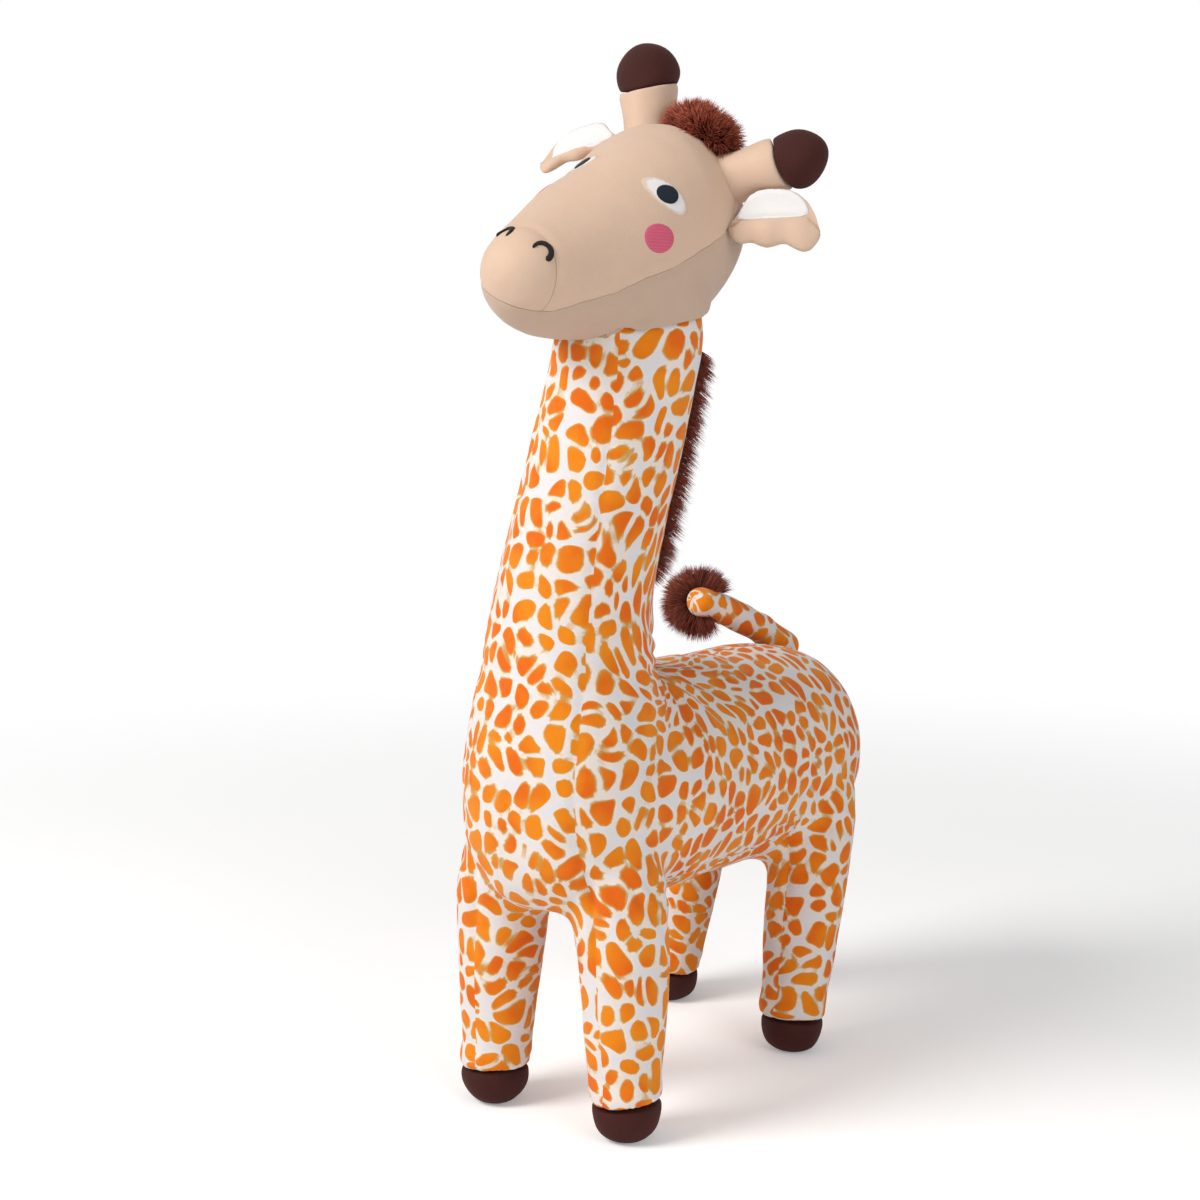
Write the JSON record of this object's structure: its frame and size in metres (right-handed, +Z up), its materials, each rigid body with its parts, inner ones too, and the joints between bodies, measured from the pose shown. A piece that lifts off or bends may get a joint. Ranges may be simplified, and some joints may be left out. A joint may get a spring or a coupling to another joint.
{
  "type": "stuffed toy giraffe",
  "caption": "Standing stuffed toy giraffe with a leaning neck, tilted head, knob-tipped horns, leaf ears, fur mane and a tufted tail.",
  "frame": {"origin": "on the floor, under the middle of the toy's bounding box", "axes": "+Z up along the toy's height; the giraffe faces -Y and its left side is +X"},
  "size_m": [0.2453, 0.4012, 0.6677],
  "materials": {
    "printed_cloth": "soft short-pile cloth, white with orange spots",
    "tan_cloth": "soft short-pile cloth",
    "underside_cloth": "soft short-pile cloth",
    "brown_cloth": "soft short-pile cloth",
    "fur": "long-pile fur",
    "white_cloth": "soft short-pile cloth",
    "dark_thread": "satin-stitch embroidery",
    "pink_thread": "satin-stitch embroidery"
  },
  "bodies": {
    "body": {"torso": "printed_cloth", "front_left_leg": "printed_cloth", "front_right_leg": "printed_cloth", "hind_left_leg": "printed_cloth", "hind_right_leg": "printed_cloth", "front_left_hoof": "brown_cloth", "front_right_hoof": "brown_cloth", "hind_left_hoof": "brown_cloth", "hind_right_hoof": "brown_cloth"},
    "neck": {"neck": "printed_cloth", "mane": "fur"},
    "head": {"head": "tan_cloth", "jaw": "underside_cloth", "muzzle": "tan_cloth", "forelock": "fur", "left_horn": "tan_cloth", "left_horn_tip": "brown_cloth", "right_horn": "tan_cloth", "right_horn_tip": "brown_cloth", "left_eye": "white_cloth", "left_pupil": "dark_thread", "left_cheek": "pink_thread", "left_nostril": "dark_thread", "right_eye": "white_cloth", "right_pupil": "dark_thread", "right_cheek": "pink_thread", "right_nostril": "dark_thread"},
    "left_ear": {"left_ear": "tan_cloth", "left_ear_lining": "white_cloth"},
    "right_ear": {"right_ear": "tan_cloth", "right_ear_lining": "white_cloth"},
    "tail": {"tail": "printed_cloth", "tail_tuft": "fur"}
  },
  "joints": [
    {"name": "neck_bend", "type": "hinge", "parent": "body", "child": "neck", "pos_m": [-0.02881, -0.09638, 0.312], "axis": [1, 0, 0], "range_deg": [-10, 10], "stiffness_Nm_per_rad": 2},
    {"name": "head_nod", "type": "hinge", "parent": "neck", "child": "head", "pos_m": [0.01119, -0.08838, 0.492], "axis": [0.9069, 0.0158, -0.421], "range_deg": [-12, 12], "stiffness_Nm_per_rad": 1},
    {"name": "left_ear_flap", "type": "hinge", "parent": "head", "child": "left_ear", "pos_m": [0.07751, -0.07013, 0.55315], "axis": [-0.0853, 0.1382, 0.9867], "range_deg": [-30, 8], "stiffness_Nm_per_rad": 0.02},
    {"name": "right_ear_flap", "type": "hinge", "parent": "head", "child": "right_ear", "pos_m": [-0.01777, -0.0715, 0.6091], "axis": [0.1629, -0.7042, -0.691], "range_deg": [-30, 6], "stiffness_Nm_per_rad": 0.02},
    {"name": "tail_swing", "type": "hinge", "parent": "body", "child": "tail", "pos_m": [-0.04275, 0.1875, 0.26443], "axis": [1, 0, 0], "range_deg": [-140, 0], "stiffness_Nm_per_rad": 0.03}
  ]
}
